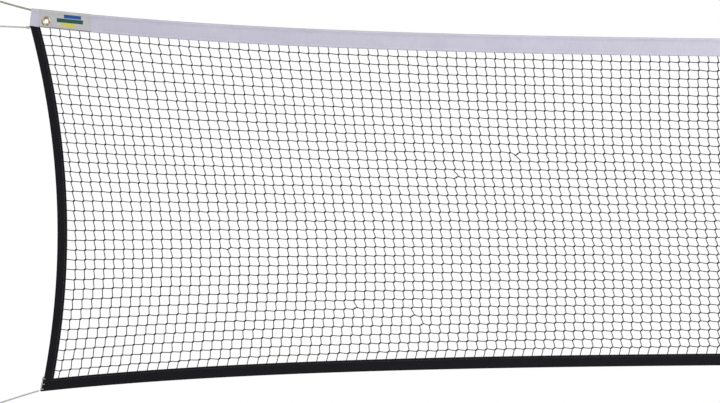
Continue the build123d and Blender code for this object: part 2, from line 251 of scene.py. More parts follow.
class Shader:
    """A new material, with short calls for its nodes."""

    def __init__(self, name, roughness=0.8, sheen=0.0, metallic=0.0, specular=0.5):
        self.material = bpy.data.materials.new(name)
        self.material.use_nodes = True
        self.tree = self.material.node_tree
        self.surface = self.tree.nodes["Principled BSDF"]
        self.surface.inputs["Roughness"].default_value = roughness
        self.surface.inputs["Sheen Weight"].default_value = sheen
        self.surface.inputs["Metallic"].default_value = metallic
        self.surface.inputs["Specular IOR Level"].default_value = specular
        coordinates = self.tree.nodes.new("ShaderNodeTexCoord").outputs
        self.place = coordinates["Object"]
        self.x, self.y, self.z = self.apart(self.place)
        self.facing_up = self.apart(coordinates["Normal"])[2]

    def apart(self, vector):
        node = self.tree.nodes.new("ShaderNodeSeparateXYZ")
        self.tree.links.new(vector, node.inputs[0])
        return node.outputs

    def math(self, operation, a, b=0.0, clamp=False):
        node = self.tree.nodes.new("ShaderNodeMath")
        node.operation = operation
        node.use_clamp = clamp
        for socket, value in zip(node.inputs, (a, b)):
            if isinstance(value, (int, float)):
                socket.default_value = value
            else:
                self.tree.links.new(value, socket)
        return node.outputs[0]

    def wave(self, along, period):
        """-1 to 1 with that period, in metres."""
        return self.math("SINE", self.math("MULTIPLY", along, 2 * math.pi / period))

    def noise(self, size, stretch=(1, 1, 1), detail=3.0, roughness=0.55):
        """0 to 1 in blotches of about that size, in metres, longer along an axis by its stretch."""
        mapping = self.tree.nodes.new("ShaderNodeMapping")
        mapping.inputs["Scale"].default_value = [1 / (size * s) for s in stretch]
        self.tree.links.new(self.place, mapping.inputs["Vector"])
        node = self.tree.nodes.new("ShaderNodeTexNoise")
        node.inputs["Scale"].default_value = 1.0
        node.inputs["Detail"].default_value = detail
        node.inputs["Roughness"].default_value = roughness
        self.tree.links.new(mapping.outputs[0], node.inputs["Vector"])
        return node.outputs[0]

    def blend(self, share, dark, light):
        """Colour between dark and light; each is a colour or another blend's output."""
        node = self.tree.nodes.new("ShaderNodeMix")
        node.data_type = "RGBA"
        self.tree.links.new(share, node.inputs["Factor"])
        for name, value in (("A", dark), ("B", light)):
            socket = next(s for s in node.inputs if s.name == name and s.type == "RGBA")
            if isinstance(value, tuple):
                socket.default_value = (*value, 1)
            else:
                self.tree.links.new(value, socket)
        return next(s for s in node.outputs if s.type == "RGBA")

    def colour(self, output):
        self.tree.links.new(output, self.surface.inputs["Base Color"])

    def bump(self, height, distance, strength=1.0):
        node = self.tree.nodes.new("ShaderNodeBump")
        node.inputs["Distance"].default_value = distance
        node.inputs["Strength"].default_value = strength
        self.tree.links.new(height, node.inputs["Height"])
        self.tree.links.new(node.outputs[0], self.surface.inputs["Normal"])

    def rough(self, output, low, high):
        """Roughness from low to high as output goes from 0 to 1."""
        self.tree.links.new(
            self.math("ADD", self.math("MULTIPLY", output, high - low), low),
            self.surface.inputs["Roughness"],
        )

    def weave(self, across_period, along_period):
        """A plain weave's height, -1 to 1."""
        warp = self.wave(self.x, across_period)
        weft = self.wave(self.z, along_period)
        return self.math("MULTIPLY", warp, weft)


# Shares of a cloth's tone and relief
THREAD_TONE = 0.16
SOIL_TONE = 0.6
FUZZ_RELIEF = 0.8
THREAD_RELIEF = 0.00012  # metres
SOIL_ROUGHNESS = 0.08


def cloth(name, dark, light, across_period, along_period, roughness=0.85, sheen=0.25, streak=0.35,
          specular=0.25):
    """Woven cloth: its threads, uneven yarn, and a slight soiling."""
    s = Shader(name, roughness, sheen, specular=specular)
    threads = s.weave(across_period, along_period)
    yarn = s.noise(0.0012, (1, 1, 14))
    soil = s.noise(0.06, detail=4.0)
    tone = s.math("ADD", s.math("MULTIPLY", threads, THREAD_TONE), s.math("MULTIPLY", yarn, streak))
    tone = s.math("ADD", tone, s.math("MULTIPLY", soil, SOIL_TONE - streak / 2), clamp=True)
    s.colour(s.blend(tone, dark, light))
    fuzz = s.noise(0.0005, detail=2.0)
    s.bump(s.math("ADD", threads, s.math("MULTIPLY", fuzz, FUZZ_RELIEF)), THREAD_RELIEF)
    s.rough(soil, roughness - SOIL_ROUGHNESS, min(1.0, roughness + SOIL_ROUGHNESS))
    return s


SHADE_FROM, SHADE_GAIN = 0.45, 1.6  # how steeply a surface faces up where the painted shade starts, and how fast it grows


def painted_fold_shade(s, colour):
    """Painted shade along a folded cloth's upper edge."""
    cloth_colour = s.surface.inputs["Base Color"].links[0].from_socket
    # painted shade: the colour darkens where the cloth faces up, along its fold
    painted_shade = s.math("MULTIPLY", s.math("SUBTRACT", s.facing_up, SHADE_FROM), SHADE_GAIN, clamp=True)
    s.colour(s.blend(painted_shade, cloth_colour, colour))


def headband_cloth():
    s = cloth("headband_cloth", (0.35, 0.34, 0.415), (0.63, 0.615, 0.71), 0.0009, 0.0012)
    # painted shade along the headband's fold
    painted_fold_shade(s, (0.24, 0.23, 0.28))
    return s.material


LABEL_X = 0.050, 0.104  # its two ends, from the net's end
# Its bars: down from the fold, from and to, along from the label's start, from and to, and the ink
LABEL_BARS = (
    (0.0055, 0.0125, 0.014, 0.048, (0.004, 0.060, 0.260)),
    (0.0135, 0.0215, 0.000, 0.052, (0.003, 0.065, 0.035)),
    (0.0225, 0.0288, 0.008, 0.036, (0.520, 0.480, 0.040)),
)
INK_COVER, INK_GRAIN = 0.78, 0.4  # least cover, and what the cloth's grain adds to it


def patch_cloth():
    """Ribbed cloth with a plain printed label: three stacked bars on a pale ground."""
    s = cloth("patch_cloth", (0.34, 0.33, 0.345), (0.60, 0.585, 0.595), 0.0016, 0.0010, streak=0.2)
    # painted shade along the patch's fold
    painted_fold_shade(s, (0.22, 0.215, 0.22))
    printed = s.surface.inputs["Base Color"].links[0].from_socket
    # The label follows the headband's slope at either end of the net
    half = NET_LENGTH / 2
    from_end = s.math("SUBTRACT", half, s.math("ABSOLUTE", s.math("SUBTRACT", s.x, half)))
    middle = sum(LABEL_X) / 2
    slope = float(top_edge(middle + MM) - top_edge(middle - MM)) / (2 * MM)
    level = s.math("SUBTRACT", s.z, s.math("MULTIPLY", s.math("SUBTRACT", from_end, middle), slope))
    down = s.math("SUBTRACT", float(top_edge(middle)), level)
    front = s.math("LESS_THAN", s.y, 0.0)
    grain = s.noise(0.0009, detail=2.0)
    for low, high, start, end, ink in LABEL_BARS:
        inside = s.math("GREATER_THAN", down, low)
        inside = s.math("MULTIPLY", inside, s.math("LESS_THAN", down, high))
        inside = s.math("MULTIPLY", inside, s.math("GREATER_THAN", from_end, LABEL_X[0] + start))
        inside = s.math("MULTIPLY", inside, s.math("LESS_THAN", from_end, LABEL_X[0] + end))
        inside = s.math("MULTIPLY", inside, front)
        worn = s.math("ADD", INK_COVER, s.math("MULTIPLY", grain, INK_GRAIN), clamp=True)
        printed = s.blend(s.math("MULTIPLY", inside, worn), printed, ink)
    s.colour(printed)
    return s.material


def black_tape():
    return cloth("black_tape", (0.003, 0.0025, 0.004), (0.010, 0.009, 0.012), 0.0011, 0.0008,
                 roughness=0.82, sheen=0.02, streak=0.25, specular=0.14).material


def netting_twine():
    """Twisted black twine, a little uneven in tone."""
    s = Shader("netting_twine", 0.75, 0.03, specular=0.15)
    tone = s.noise(0.008, detail=3.0)
    s.colour(s.blend(tone, (0.002, 0.002, 0.003), (0.010, 0.010, 0.012)))
    lay = s.wave(s.math("ADD", s.x, s.z), 0.0011)
    s.bump(lay, 0.00008)
    return s.material


def fibre(name, dark, light):
    """Twisted cord's yarn: fine fibres, with paler and darker patches."""
    s = Shader(name, 0.85, 0.3, specular=0.2)
    fine = s.noise(0.0004, (3, 1, 3), detail=2.0)
    patches = s.noise(0.006, detail=4.0)
    tone = s.math("ADD", s.math("MULTIPLY", fine, 0.5), s.math("MULTIPLY", patches, 0.5))
    s.colour(s.blend(tone, dark, light))
    s.bump(fine, 0.0001)
    return s.material


def thread(name, dark, light):
    """Smooth sewing thread with a fine twist."""
    s = Shader(name, 0.6, 0.2, specular=0.4)
    s.colour(s.blend(s.noise(0.002), dark, light))
    s.bump(s.wave(s.math("ADD", s.x, s.z), 0.0005), 0.00004)
    return s.material


TARNISH_FROM, TARNISH_GAIN = 0.38, 4.0  # where the noise turns from tarnish to bright, and how sharply
DULL, BRIGHT = 0.42, 0.22  # roughness


def brass():
    """Rolled brass with tarnish and fine scratches."""
    s = Shader("eyelet_brass", metallic=1.0)
    blotches = s.noise(0.0045, detail=4.0, roughness=0.7)
    bright = s.math("MULTIPLY", s.math("SUBTRACT", blotches, TARNISH_FROM), TARNISH_GAIN, clamp=True)
    scratches = s.noise(0.0006, (12, 1, 1), detail=2.0)
    s.colour(s.blend(bright, (0.16, 0.11, 0.06), (0.72, 0.62, 0.44)))
    s.rough(bright, DULL, BRIGHT)
    s.bump(s.math("ADD", scratches, bright), 0.00003, 0.6)
    return s.material


headband_mat = headband_cloth()
patch_mat = patch_cloth()
tape_mat = black_tape()
twine_mat = netting_twine()
top_fibre = fibre("top_cord_fibre", (0.15, 0.135, 0.125), (0.46, 0.415, 0.375))
low_fibre = fibre("low_cord_fibre", (0.24, 0.24, 0.24), (0.60, 0.60, 0.585))
white_thread = thread("white_thread", (0.45, 0.44, 0.52), (0.80, 0.79, 0.88))
black_thread = thread("black_thread", (0.012, 0.011, 0.015), (0.045, 0.042, 0.05))
brass_mat = brass()

# ---- Camera ----

VIEW_WIDTH = 1.4256  # of the net's plane, across the picture
VIEW_X, VIEW_Z = 0.650, -0.379
LENS, SENSOR = 85.0, 36.0

camera_data = bpy.data.cameras.new("camera")
camera_data.lens = LENS
camera_data.sensor_width = SENSOR
camera = bpy.data.objects.new("camera", camera_data)
bpy.context.scene.collection.objects.link(camera)
camera.location = (VIEW_X, -VIEW_WIDTH * LENS / SENSOR, VIEW_Z)
camera.rotation_euler = (math.pi / 2, 0, 0)
bpy.context.scene.camera = camera

# ---- Ties and the cord at the corners ----


SPLINE_STEPS = 24


def spline_points(name, route):
    """Points along the smooth curve that has a route's points as its control points."""
    data = bpy.data.curves.new(name, "CURVE")
    data.dimensions = "3D"
    data.resolution_u = SPLINE_STEPS
    spline = data.splines.new("NURBS")
    spline.points.add(len(route) - 1)
    for point, place in zip(spline.points, route):
        point.co = (*place, 1)
    spline.order_u = 3
    spline.use_endpoint_u = True
    holder = bpy.data.objects.new(name, data)
    bpy.context.scene.collection.objects.link(holder)
    depsgraph = bpy.context.evaluated_depsgraph_get()
    mesh = bpy.data.meshes.new_from_object(holder.evaluated_get(depsgraph))
    points = np.array([v.co[:] for v in mesh.vertices])
    bpy.data.objects.remove(holder)
    bpy.data.curves.remove(data)
    bpy.data.meshes.remove(mesh)
    return points


def evenly(points, step):
    """The same line with points a step apart."""
    apart = np.linalg.norm(np.diff(points, axis=0), axis=1)
    run = np.concatenate([[0], np.cumsum(apart)])
    count = int(run[-1] / step) + 1
    at = np.linspace(0, run[-1], count)
    return np.stack([np.interp(at, run, points[:, i]) for i in range(3)], axis=1)


STRAND_SHARE = 0.4641  # of the rope's radius, so that three strands fill it
TWIST_PITCH = 3.2  # rope diameters
ROPE_STEP = 0.3  # rope diameters
STRAND_SWELL = 1.15  # a strand's radius, for strands that press into each other
STRAND_SIDES = 7


def rope(points, diameter):
    """Three strands twisted about a line."""
    line = evenly(points, diameter * ROPE_STEP)
    along = np.gradient(line, axis=0)
    along /= np.linalg.norm(along, axis=1, keepdims=True)
    side = np.array(Vector(along[0]).orthogonal().normalized())
    sides = []
    for t in along:
        side = side - t * np.dot(side, t)
        side /= np.linalg.norm(side)
        sides.append(side)
    sides = np.array(sides)
    ups = np.cross(along, sides)
    apart = np.linalg.norm(np.diff(line, axis=0), axis=1)
    run = np.concatenate([[0], np.cumsum(apart)])
    strand_r = diameter / 2 * STRAND_SHARE
    swing_r = diameter / 2 - strand_r
    strands = []
    for k in range(3):
        angle = run / (TWIST_PITCH * diameter) * 2 * np.pi + k * 2 * np.pi / 3
        swing = np.cos(angle)[:, None] * sides + np.sin(angle)[:, None] * ups
        strands.append(line + swing_r * swing)
    return tubes(np.array(strands), strand_r * STRAND_SWELL, STRAND_SIDES)


def tie_frame(route):
    """Where a tie's knot starts, and the direction outwards and across, in the net's plane."""
    a, b = (np.array([x, 0.0, z]) for x, z in route[-2:])
    outwards = (b - a) / np.linalg.norm(b - a)
    return b, outwards, np.array([-outwards[2], 0.0, outwards[0]])


def local(base, outwards, across, points):
    """Points given as (outwards, across, to the back), in millimetres, in the row frame."""
    back = np.array([0.0, 1.0, 0.0])
    return [base + MM * (u * outwards + v * across + w * back) for u, v, w in points]


# The loop and the cord's short tail beyond the knot, as local() has them
LOOP = [(5, 1.4, 0.6), (12, 2.6, 0.3), (20, 6.4, 0), (28, 11.2, 0), (37, 12.4, 0), (46, 9.6, 0),
        (48.8, 0, 0), (46, -9.6, 0), (37, -12.4, 0), (28, -11.2, 0), (20, -6.4, 0), (12, -2.6, -0.3),
        (5, -1.4, -0.6)]
TAIL = [(3, -1, -2), (5, -4, -3), (8, -8, -2.4), (11, -13, -1.6), (13, -17, -1.2)]
KNOT_TURNS = 2.4
KNOT_INSET = 0.6  # millimetres from the knot's ends to its turns
TURN_R, TURN_D = 0.86, 0.9  # of the turns and of their rope, in cord diameters
INTO_KNOT = 0.6  # the share of the knot that the cord runs through


def winding(base, outwards, across, start, end, radius, turns, steps=64):
    """A helix about the outward direction, between two distances in millimetres."""
    t = np.linspace(0, 1, steps)
    angle = t * turns * 2 * np.pi
    points = zip(start + (end - start) * t, radius * np.cos(angle), radius * np.sin(angle))
    return np.array(local(base, outwards, across, points))


def tie(where, route, diameter, mat, body, slot, exit_point):
    """The cord from the net to its knot, its loop, and the turns of its knot with a short tail."""
    base, outwards, across = tie_frame(route)
    thick = diameter / MM
    reach = base + outwards * KNOT_LENGTH * INTO_KNOT
    control = [(x, 0.0, z) for x, z in route[:-1]] + [tuple(reach)]
    line = spline_points(f"{where}_line", control)
    loop_line = spline_points("loop_line", local(base, outwards, across, LOOP))
    tail_line = spline_points("tail_line", local(base, outwards, across, TAIL))
    turns = winding(base, outwards, across, KNOT_INSET, KNOT_LENGTH / MM - KNOT_INSET, thick * TURN_R,
                    KNOT_TURNS)
    knot_parts = [rope(turns, diameter * TURN_D), rope(tail_line, diameter)]
    for end, part, node in (
        ("rope", rope(line, diameter), "tie"),
        ("loop", rope(loop_line, diameter), "tie_loop"),
        ("knot", joined(knot_parts), "tie_knot"),
    ):
        name = f"{where}_tie_{end}"
        make_both_ends(name, *part, mat, body, f"{where}_{node}", slot)
    for i, side in enumerate(("left", "right")):
        path = np.array(line)
        out = np.array([exit_point[0], 0.0, exit_point[1]])
        if side == "right":
            path[:, 0] = NET_LENGTH - path[:, 0]
            out[0] = NET_LENGTH - out[0]


tie("top", TOP_TIE, TOP_CORD_D, top_fibre, "tied_cords", "top_cord_fibre", (0.0, 0.0))
tie("side", SIDE_TIE, LOW_CORD_D, low_fibre, "net", "low_cord_fibre", (-0.0116, -0.0342))
tie("bottom", BOTTOM_TIE, LOW_CORD_D, low_fibre, "net", "low_cord_fibre", (0.0144, -0.7536))

# The stopper knot: turns of the side cord, drawn tight against the headband's lower corner
STOPPER_FROM, STOPPER_TO = 2.2, 7.4  # millimetres inwards
STOPPER_TURNS, STOPPER_TURN_R = 2.3, 1.75  # millimetres
STOPPER_SLOPE = 0.04
STOPPER_TURN_D = 0.82  # cord diameters
STOPPER_CORE = [(-1.5, 0, 0), (3, 0.2, 0), (8.5, -0.6, 0)]

stopper_base = np.array([SIDE_TIE[0][0], 0.0, SIDE_TIE[0][1]])
inwards, across = np.array([1.0, 0.0, -STOPPER_SLOPE]), np.array([STOPPER_SLOPE, 0.0, 1.0])
turns = winding(stopper_base, inwards, across, STOPPER_FROM, STOPPER_TO, STOPPER_TURN_R, STOPPER_TURNS,
                steps=48)
core = np.array(local(stopper_base, inwards, across, STOPPER_CORE))
stopper = joined([rope(turns, LOW_CORD_D * STOPPER_TURN_D), rope(core, LOW_CORD_D)])
make_both_ends("stopper_turns", *stopper, low_fibre, "net", "stopper_knot", "low_cord_fibre")

# The lashing: the cord runs down the tape's outer edge, held by turns through it
LASHING_TOP, LASHING_FOOT = 0.031, 0.0025  # above the net's lower corner
LASHING_POINTS = 8
LASHING_WAVER = 0.0003
LASHING_GAP = 0.0002  # from the tape's edge
TURNS_AT = 0.0265, 0.016, 0.006  # above the lower corner
TURN_INSET = 0.0004
TURN_RADIUS = 3.3  # millimetres
TURN_RISE = 1.2  # millimetres, above and below its middle
TURN_SLANT = 0.25
TURN_THICKNESS = 0.45  # cord diameters

lashing_out = -(LOW_CORD_D / 2 + LASHING_GAP)
levels = np.linspace(LOWER_Z + LASHING_TOP, LOWER_Z + LASHING_FOOT, LASHING_POINTS)
lashing_line = [(side_edge(z, lashing_out) + LASHING_WAVER * (-1) ** i, 0.0, z)
                for i, z in enumerate(levels)]
lashing_parts = [rope(spline_points("lashing_line", lashing_line), LOW_CORD_D)]
up, across = np.array([TURN_SLANT, 0.0, 1.0]), np.array([1.0, 0.0, -TURN_SLANT])
for above in TURNS_AT:
    z = LOWER_Z + above
    middle = np.array([side_edge(z, TURN_INSET), 0.0, z])
    ring = winding(middle, up, across, -TURN_RISE, TURN_RISE, TURN_RADIUS, 1.0, steps=40)
    lashing_parts.append(rope(ring, LOW_CORD_D * TURN_THICKNESS))
make_both_ends("corner_lashing_cord", *joined(lashing_parts), low_fibre, "net", "corner_lashing",
               "low_cord_fibre")

# ---- Netting: every mesh of knotted twine ----


def bow(x):
    """How far the netting's columns are drawn in at half height, for a column that starts at x."""
    return NET_BOW * np.clip(1 - x / NET_BOW_REACH, 0, None) ** NET_BOW_POWER


def gathered(x):
    """How far the columns near one end are drawn towards the net's middle."""
    return NET_SHIFT * np.exp(-(((x - NET_SHIFT_X) / NET_SHIFT_WIDTH) ** 2))


def lattice():
    """The middle of every knot, (column, row, 3)."""
    start_x = (FIRST_COLUMN_X + MESH_PITCH * np.arange(COLUMNS))[:, None]
    v = (np.arange(ROWS) / (ROWS - 1))[None, :]
    lean = LEAN * np.tanh((NET_LENGTH / 2 - start_x) / LEAN_REACH)
    other_x = NET_LENGTH - start_x
    x = start_x + gathered(start_x) - gathered(other_x)
    x = x + lean * (v - LEAN_WAVE * np.sin(2 * np.pi * v))
    x = x + (bow(start_x) - bow(other_x)) * 4 * v * (1 - v)
    first = top_edge(x, HEADBAND_HEIGHT + FIRST_ROW_BELOW_HEADBAND)
    last = bottom_edge(x, BOTTOM_TAPE_HEIGHT + LAST_ROW_ABOVE_TAPE)
    end_rise = np.exp(-start_x / END_RISE_REACH) + np.exp(-other_x / END_RISE_REACH)
    z = first + (last - first) * v + END_RISE * end_rise * (np.sin(np.pi * v) - END_DIP * (1 - v) ** 4)
    knots = np.stack([x, np.zeros_like(x), z], axis=-1)
    for axis in (0, 2, 1):
        knots[..., axis] += rng.normal(0, KNOT_SCATTER[axis], x.shape)
    return knots


knots = lattice()
from_end = np.minimum(np.arange(COLUMNS), COLUMNS - 1 - np.arange(COLUMNS)) / TIGHT_COLUMNS
from_end = np.clip(from_end, 0, 1)[:, None]  # 0 at either end, and 1 where the netting is slack
# Knots are longer lower down, and away from the net's ends
loose = TOP_KNOTS + LOWER_KNOTS * np.arange(ROWS) / (ROWS - 1)
loose = loose * (END_KNOTS + MIDDLE_KNOTS * from_end)
spread = (rng.uniform(*UNEVEN, loose.shape) * loose)[..., None]
upper_ends = KNOT_HALF * spread
lower_ends = -KNOT_HALF * spread
for column, row, end, out, down in SLIPPED:
    if end == "lower":
        lower_ends[column, row] = (-out, 0, -down)
    else:
        upper_ends[column, row] = (out, 0, down)
starts = knots + lower_ends  # each knot's lower left end
ends = knots + upper_ends

# A column's twine is straighter near the net's ends, where it is drawn tight
slack = (SLACK + MORE_SLACK * from_end)[..., None]


def downward_legs(a, b, slack):
    """Twine from a down to b, leaving and arriving nearly upright, which bends it like an S."""
    drop = np.zeros_like(a)
    drop[..., 2] = b[..., 2] - a[..., 2]
    drop[..., 0] = -LEG_SKEW * np.abs(drop[..., 2])
    bend = np.broadcast_to(slack, a.shape[:-1] + (1,)) * rng.uniform(0.8, 1.2, a.shape[:-1] + (1,))
    return a, a + drop * bend, b - drop * bend, b


def sideways_legs(a, b):
    """Twine from a across to b, with a little sag."""
    third = (b - a) / 3
    dip = np.zeros_like(a)
    dip[..., 2] = rng.normal(SAG, SAG_SCATTER, a.shape[:-1])
    return a, a + third + dip, b - third + dip, b


def netting_legs(columns):
    """Control points of every leg that starts in some of the columns."""
    found = []
    body = slice(columns[0], columns[-1] + 1)
    found.append(downward_legs(starts[body, :-1], ends[body, 1:], slack[body]))
    top_x = knots[body, 0, 0] - KNOT_HALF[0] * 1.2
    top_z = top_edge(top_x, HEADBAND_HEIGHT - LEG_REACH)
    hung = np.stack([top_x, np.zeros_like(top_x), top_z], axis=-1)
    found.append(downward_legs(hung, ends[body, 0], slack[body, 0]))
    low_x = knots[body, -1, 0] - LOW_LEG_SHIFT
    low_z = bottom_edge(low_x, BOTTOM_TAPE_HEIGHT - LEG_REACH)
    sewn = np.stack([low_x, np.zeros_like(low_x), low_z], axis=-1)
    found.append(downward_legs(starts[body, -1], sewn, slack[body, 0]))
    after = slice(columns[0] + 1, min(columns[-1] + 2, COLUMNS))
    before = slice(columns[0], min(columns[-1] + 1, COLUMNS - 1))
    found.append(sideways_legs(ends[before], starts[after]))
    if columns[0] == 0:
        z = knots[0, :, 2] + LEFT_LEG_RISE
        x = side_edge(z, SIDE_TAPE_WIDTH - LEG_REACH)
        found.append(sideways_legs(np.stack([x, np.zeros_like(x), z], axis=-1), starts[0]))
    if columns[-1] == COLUMNS - 1:
        z = knots[-1, :, 2] - RIGHT_LEG_DROP
        x = NET_LENGTH - side_edge(z, SIDE_TAPE_WIDTH - LEG_REACH)
        found.append(sideways_legs(ends[-1], np.stack([x, np.zeros_like(x), z], axis=-1)))
    return [np.concatenate([f[i].reshape(-1, 3) for f in found]) for i in range(4)]


# A knot's bar: its rings along it, in knot lengths, and their radii, in twine radii
BAR_RINGS = np.array([-0.95, -0.6, 0.0, 0.6, 0.95])
BAR_RADII = np.array([0.6, 1.45, 1.6, 1.45, 0.6])
SLIPPED_LENGTH, SLIPPED_THINNER = 2.6, 0.7  # a slipped knot is longer than so many half knots, and thinner
# Its turn: radius, thickness and tilt, in twine radii
TURN_AROUND, TURN_TWINE, TURN_TILT = 1.5, 0.8, 0.9


def netting_knots(body):
    """A knot is a short thick bar, with a turn of twine drawn round its middle."""
    a, b = starts[body].reshape(-1, 3), ends[body].reshape(-1, 3)
    middle = (a + b) / 2
    along = b - a
    length = np.linalg.norm(along, axis=1, keepdims=True)
    along = along / length
    bars = middle[:, None] + along[:, None] * length[:, None] * BAR_RINGS[None, :, None]
    thick = TWINE_R * BAR_RADII
    slipped = length[:, 0] > SLIPPED_LENGTH * np.linalg.norm(KNOT_HALF)
    thick = np.where(slipped[:, None], thick * SLIPPED_THINNER, thick)
    bar_part = tubes(bars, thick, 6)
    level = np.zeros_like(along)
    level[:, 1] = 1
    across = np.cross(along, level)
    angle = np.linspace(0, 2 * np.pi, 8)
    turn_r = TWINE_R * TURN_AROUND
    turn = np.cos(angle)[None, :, None] * across[:, None] + np.sin(angle)[None, :, None] * level[:, None]
    tilt = np.sin(angle)[None, :, None] * along[:, None] * TWINE_R * TURN_TILT
    turn_part = tubes(middle[:, None] + turn * turn_r + tilt, TWINE_R * TURN_TWINE, 4)
    return [bar_part, turn_part]


for number, first in enumerate(range(0, COLUMNS, COLUMNS_PER_PIECE), start=1):
    columns = range(first, min(first + COLUMNS_PER_PIECE, COLUMNS))
    legs = tubes(bezier(*netting_legs(columns), rings=5), TWINE_R, 5)
    netting_part = joined([legs, *netting_knots(slice(columns[0], columns[-1] + 1))])
    make_piece(f"netting_{number:02d}", *netting_part, twine_mat, "net", "netting", "netting_twine")

# ---- Folded tapes ----


def cylinder(centre, radius, reach, sides=48):
    """A closed cylinder along the depth axis."""
    ends = np.array([[centre[0], -reach, centre[1]], [centre[0], reach, centre[1]]])
    angle = np.arange(sides) / sides * 2 * np.pi
    ring = np.stack([np.cos(angle), 0 * angle, np.sin(angle)], axis=-1) * radius
    verts = (ends[:, None] + ring[None]).reshape(-1, 3)
    k = np.arange(sides)
    after = (k + 1) % sides
    quads = np.stack([k, k + sides, after + sides, after], axis=-1)
    return verts, [quads, k[None], k[None, ::-1] + sides]


CUT_REACH = 0.02  # past the thickest cloth, to the front and the back
HOLE_PLAY = 0.0007  # from the bore to the cloth's hole, with the barrel's wall between them


def punch(obj, centres, radius):
    """Cuts round holes through a cloth piece, from front to back."""
    for centre in centres:
        verts, faces = cylinder(centre, radius, CUT_REACH)
        mesh = bpy.data.meshes.new("cutter")
        mesh.from_pydata(verts.tolist(), [], [f for group in faces for f in group.tolist()])
        cutter = bpy.data.objects.new("cutter", mesh)
        bpy.context.scene.collection.objects.link(cutter)
        hole = obj.modifiers.new("hole", "BOOLEAN")
        hole.object = cutter
        hole.operation = "DIFFERENCE"
        hole.solver = "EXACT"
        depsgraph = bpy.context.evaluated_depsgraph_get()
        cut = bpy.data.meshes.new_from_object(obj.evaluated_get(depsgraph))
        obj.modifiers.clear()
        obj.data = cut
        bpy.data.objects.remove(cutter)


eyelet_centre = (EYELET_X, float(top_edge(EYELET_X, EYELET_BELOW_FOLD)))
other_centre = (NET_LENGTH - EYELET_X, eyelet_centre[1])
HOLE_R = BORE_R + HOLE_PLAY

# Where a folded strip's middle line has its points, and what a seam and a fold do to it
EDGE_ROUND = 0.0012  # from a strip's edge to the next point
SEAM_ROUND = 0.0012  # from a seam to the points beside it
FLAT_INSET = 0.004  # the flat part's points stay so far from the seam and the fold's eye
FLAT_POINTS, FOLD_POINTS = 5, 9
NECK, NECK_POINT = 0.003, 0.0018  # from the eye, over which the leaves come together, and a point there
PINCH, PINCH_WIDTH = 0.00022, 0.0011  # the stitches' pull


def folded_profile(width, cord_r, leaf_half, wall, seam_at):
    """Middle line of a strip folded over a cord, as (depth, distance from the fold), front to back."""
    fold_r = cord_r + wall / 2
    eye = 2 * fold_r
    leaf_y = leaf_half + wall / 2
    rows = [width, width - EDGE_ROUND, seam_at + SEAM_ROUND, seam_at, seam_at - SEAM_ROUND]
    rows += list(np.linspace(seam_at - FLAT_INSET, eye + FLAT_INSET, FLAT_POINTS))
    rows += [eye + NECK_POINT, eye, eye * 0.75]
    front = []
    for d in rows:
        bulge = 1 - eased((d - fold_r) / (eye + NECK - fold_r))
        pinch = PINCH * math.exp(-(((d - seam_at) / PINCH_WIDTH) ** 2))
        front.append((-(leaf_y + (fold_r - leaf_y) * bulge) + pinch, d))
    turn = np.linspace(0, math.pi, FOLD_POINTS)
    arc = [(-fold_r * math.cos(t), fold_r - fold_r * math.sin(t)) for t in turn]
    back = [(-y, d) for y, d in reversed(front)]
    return np.array(front + arc + back)


FOLD_STILL = 0.001  # the ripple fades to nothing over this depth, where the strip turns over its cord


def folded_strip(place, steps, profile, wall, ripple):
    """A folded strip with thickness. place(u, d) gives x and z along and across the strip, and
    ripple(u, x, d) moves a leaf outwards."""
    tangent = np.gradient(profile, axis=0)
    tangent /= np.linalg.norm(tangent, axis=1, keepdims=True)
    normal = np.stack([tangent[:, 1], -tangent[:, 0]], axis=1)
    outer, inner = profile + normal * wall / 2, profile - normal * wall / 2
    if outer[len(outer) // 2, 1] > inner[len(inner) // 2, 1]:
        outer, inner = inner, outer
    loop = np.concatenate([outer, inner[::-1]])
    u = np.linspace(0, 1, steps)[:, None]
    depth, d = loop[None, :, 0], loop[None, :, 1]
    x, z = place(u, d)
    x = np.broadcast_to(x, (steps, loop.shape[0]))
    z = np.broadcast_to(z, x.shape)
    outwards = np.sign(depth) * np.clip(np.abs(depth) / FOLD_STILL, 0, 1)
    y = depth + outwards * ripple(u, x, d)
    verts = np.stack([x, y, z], axis=-1).reshape(-1, 3)
    around = loop.shape[0]
    first = (np.arange(steps - 1) * around)[:, None]
    here, after = np.arange(around), (np.arange(around) + 1) % around
    quads = np.stack([first + here, first + after, first + after + around, first + here + around], -1)
    k = np.arange(len(profile) - 1)
    cap = np.stack([k, around - 1 - k, around - 2 - k, k + 1], axis=-1)
    far = cap[:, ::-1] + (steps - 1) * around
    return faced_out(verts, [quads.reshape(-1, 4)[:, ::-1], cap, far])


# A stitch's rings along it, in half stitches, and how high they stand, in thread radii
STITCH_RINGS = np.array([-1.0, -0.7, 0.0, 0.7, 1.0])
STITCH_LIFT = np.array([-0.9, 0.35, 0.6, 0.35, -0.9])
HALF_STITCH = 0.36  # of the pitch


def stitches(place, row, face, pitch, length, radius):
    """A row of stitches on the front and the back face, each dipping into the cloth at its ends."""
    count = int(length / pitch)
    reach = HALF_STITCH * pitch / length
    centre = (np.arange(count) + 0.5) / count
    u = centre[:, None] + reach * STITCH_RINGS[None, :]
    x, z = place(u, row)
    lift = radius * STITCH_LIFT
    parts = []
    for side in (-1, 1):
        y = np.broadcast_to(side * (face + lift), x.shape)
        parts.append(tubes(np.stack([x, y, z], axis=-1), radius, 4))
    return joined(parts)


# Headband
HEADBAND_STEPS = 1400
HEADBAND_STITCH, HEADBAND_THREAD_R = 0.0036, 0.00032
HEADBAND_SEAM = 5.86
PUCKER, PUCKER_FROM, PUCKER_OVER = 0.00042, 0.012, 0.020  # its height, and where it grows, below the fold
SLOW_WAVE, WAVE_FROM, WAVE_OVER = 0.00025, 0.006, 0.01
FREE_X, FREE_OVER = 0.13, 0.05  # from the net's end, beyond which the patch doesn't hold the cloth flat


